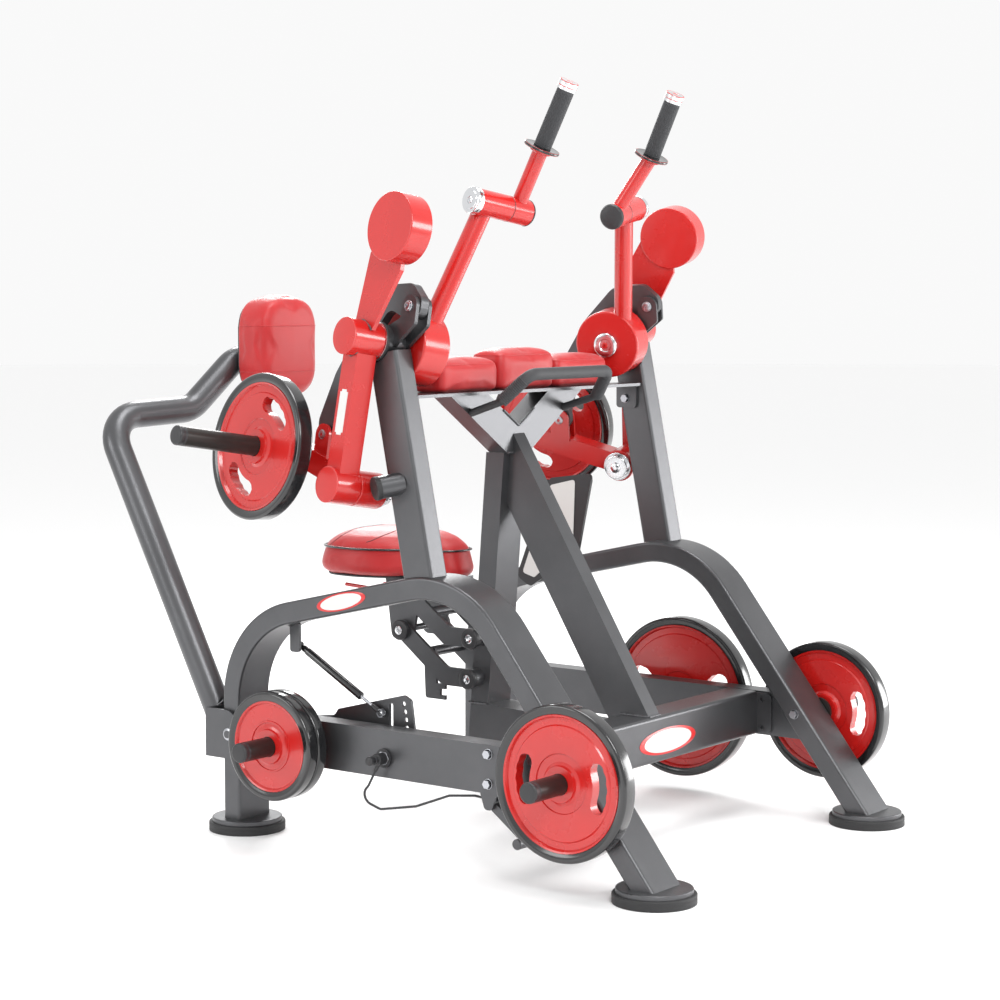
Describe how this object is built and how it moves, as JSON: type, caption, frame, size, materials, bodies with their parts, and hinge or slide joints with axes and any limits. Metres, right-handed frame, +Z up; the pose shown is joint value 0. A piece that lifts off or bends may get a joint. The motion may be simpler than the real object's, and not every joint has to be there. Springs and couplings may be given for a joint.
{
  "type": "plate-loaded pull-over press machine",
  "caption": "Plate-loaded shoulder machine: arched tube frame, two tilted levers with swivel handles, weight arms, curved links, chest pads, hinged seat and hinged back pad",
  "frame": {"origin": "on the floor, under the middle of the machine's bounding box", "axes": "+Z up, the user faces -Y with the back pad at +Y, +X to one side; the frame is mirrored about X = 0"},
  "size_m": [1.7806, 1.9144, 1.9389],
  "materials": {
    "frame_paint": "satin",
    "red_enamel": "gloss",
    "foot_rubber": "matte",
    "horn_black": "satin",
    "chrome": "polished",
    "vinyl": "satin",
    "grip_rubber": "matte",
    "zinc": "satin",
    "black_plastic": "matte",
    "label": "gloss"
  },
  "bodies": {
    "frame": {"left_arch": "frame_paint", "right_arch": "frame_paint", "left_post": "frame_paint", "right_post": "frame_paint", "left_rail": "frame_paint", "right_rail": "frame_paint", "front_crossbeam": "frame_paint", "column": "frame_paint", "front_seat_pivots": "frame_paint", "strut": "frame_paint", "y_brace": "frame_paint", "tie_plate": "frame_paint", "rubber_feet": "foot_rubber", "foot_discs": "frame_paint", "storage_horns": "horn_black", "placard": "label", "grab_handle": "grip_rubber", "center_chest_pad": "vinyl", "side_chest_pads": "vinyl", "frame_bolts": "zinc", "pivot_bearings": "zinc", "plunger_housing": "black_plastic", "release_cable": "grip_rubber", "pedal_hanger": "frame_paint", "rubber_bumper": "foot_rubber", "left_front_plate": "red_enamel", "right_front_plate": "red_enamel", "right_mid_plate": "red_enamel", "left_rear_plates": "red_enamel"},
    "left_lever_body": {"left_lever": "red_enamel", "left_shafts": "chrome", "left_handle_arm": "red_enamel"},
    "left_swivel_body": {"left_swivel_handle": "red_enamel", "left_grip": "grip_rubber"},
    "left_arm_body": {"left_weight_arm": "red_enamel", "left_weight_horn": "horn_black", "left_arm_plate": "red_enamel"},
    "left_link_body": {"left_curved_link": "frame_paint"},
    "right_lever_body": {"right_lever": "red_enamel", "right_shafts": "chrome", "right_handle_arm": "red_enamel"},
    "right_swivel_body": {"right_swivel_handle": "red_enamel", "right_grip": "grip_rubber"},
    "right_arm_body": {"right_weight_arm": "red_enamel", "right_weight_horn": "horn_black", "right_arm_plate": "red_enamel"},
    "right_link_body": {"right_curved_link": "frame_paint"},
    "seat_upper": {"seat_upper_link": "frame_paint"},
    "seat_lower": {"seat_lower_link": "frame_paint"},
    "seat_body": {"seat_carrier": "frame_paint", "seat_cushion": "vinyl"},
    "seat_release": {"seat_release_lever": "red_enamel"},
    "back_body": {"back_arm": "frame_paint", "back_bracket": "frame_paint", "adjuster_plate": "frame_paint", "back_pad": "vinyl"},
    "gas_cylinder_body": {"gas_cylinder": "black_plastic"},
    "gas_rod_body": {"gas_rod": "zinc"},
    "plunger_body": {"plunger_pin": "zinc"},
    "pedal_body": {"pedal": "frame_paint"}
  },
  "joints": [
    {"name": "left_lever_pivot", "type": "hinge", "parent": "frame", "child": "left_lever_body", "pos_m": [-0.4, -0.0924, 1.266], "axis": [0.9661, -0.2054, -0.1564], "range_deg": [0, 70]},
    {"name": "left_weight_arm_hinge", "type": "hinge", "parent": "left_lever_body", "child": "left_arm_body", "pos_m": [-0.45149, -0.05999, 0.90549], "axis": [0.9661, -0.2054, -0.1564], "range_deg": [-13, 1]},
    {"name": "left_link_hinge", "type": "hinge", "parent": "frame", "child": "left_link_body", "pos_m": [-0.40437, -0.18144, 1.35588], "axis": [0.9661, -0.2054, -0.1564], "range_deg": [-1, 53]},
    {"name": "left_handle_swivel", "type": "hinge", "parent": "left_lever_body", "child": "left_swivel_body", "pos_m": [-0.36518, -0.21226, 1.63836], "axis": [0.9661, -0.2054, -0.1564], "range_deg": [-30, 30]},
    {"name": "right_lever_pivot", "type": "hinge", "parent": "frame", "child": "right_lever_body", "pos_m": [0.4, -0.0924, 1.266], "axis": [0.9661, 0.2054, 0.1564], "range_deg": [0, 70]},
    {"name": "right_weight_arm_hinge", "type": "hinge", "parent": "right_lever_body", "child": "right_arm_body", "pos_m": [0.45149, -0.05999, 0.90549], "axis": [0.9661, 0.2054, 0.1564], "range_deg": [-13, 1]},
    {"name": "right_link_hinge", "type": "hinge", "parent": "frame", "child": "right_link_body", "pos_m": [0.40437, -0.18144, 1.35588], "axis": [0.9661, 0.2054, 0.1564], "range_deg": [-1, 53]},
    {"name": "right_handle_swivel", "type": "hinge", "parent": "right_lever_body", "child": "right_swivel_body", "pos_m": [0.36518, -0.21226, 1.63836], "axis": [0.9661, 0.2054, 0.1564], "range_deg": [-30, 30]},
    {"name": "seat_height", "type": "hinge", "parent": "frame", "child": "seat_upper", "pos_m": [0, 0.0086, 0.491], "axis": [1, 0, 0], "range_deg": [-10, 16]},
    {"name": "seat_lower_hinge", "type": "hinge", "parent": "frame", "child": "seat_lower", "pos_m": [0, 0.0156, 0.382], "axis": [1, 0, 0], "range_deg": [-11, 17]},
    {"name": "seat_level_hinge", "type": "hinge", "parent": "seat_upper", "child": "seat_body", "pos_m": [0, 0.2416, 0.604], "axis": [1, 0, 0], "range_deg": [-17, 11]},
    {"name": "seat_release_hinge", "type": "hinge", "parent": "seat_body", "child": "seat_release", "pos_m": [-0.098, 0.2896, 0.6], "axis": [1, 0, 0], "range_deg": [0, 8], "stiffness_Nm_per_rad": 3, "springref_deg": -8.59},
    {"name": "backrest_hinge", "type": "hinge", "parent": "frame", "child": "back_body", "pos_m": [0, 0.4236, 0.262], "axis": [1, 0, 0], "range_deg": [0, 13.8]},
    {"name": "gas_cylinder_hinge", "type": "hinge", "parent": "frame", "child": "gas_cylinder_body", "pos_m": [-0.488, 0.2596, 0.5], "axis": [1, 0, 0], "range_deg": [-1, 14]},
    {"name": "gas_rod_slide", "type": "slide", "parent": "gas_cylinder_body", "child": "gas_rod_body", "axis": [0, -0.8749, -0.4843], "range_m": [-0.001, 0.071]},
    {"name": "plunger_slide", "type": "slide", "parent": "frame", "child": "plunger_body", "axis": [1, 0, 0], "range_m": [0, 0.01]},
    {"name": "pedal_hinge", "type": "hinge", "parent": "frame", "child": "pedal_body", "pos_m": [-0.535, -0.4054, 0.178], "axis": [1, 0, 0], "range_deg": [0, 10], "stiffness_Nm_per_rad": 12, "springref_deg": -11.46}
  ],
  "couplings": [
    {"joint": "left_weight_arm_hinge", "follows": "left_lever_pivot", "ratio": -0.173},
    {"joint": "left_link_hinge", "follows": "left_lever_pivot", "ratio": 0.733},
    {"joint": "right_weight_arm_hinge", "follows": "right_lever_pivot", "ratio": -0.173},
    {"joint": "right_link_hinge", "follows": "right_lever_pivot", "ratio": 0.733},
    {"joint": "seat_lower_hinge", "follows": "seat_height", "ratio": 1},
    {"joint": "seat_level_hinge", "follows": "seat_height", "ratio": -1},
    {"joint": "gas_cylinder_hinge", "follows": "backrest_hinge", "ratio": 0.985},
    {"joint": "gas_rod_slide", "follows": "backrest_hinge", "m_per_rad": 0.2881}
  ]
}
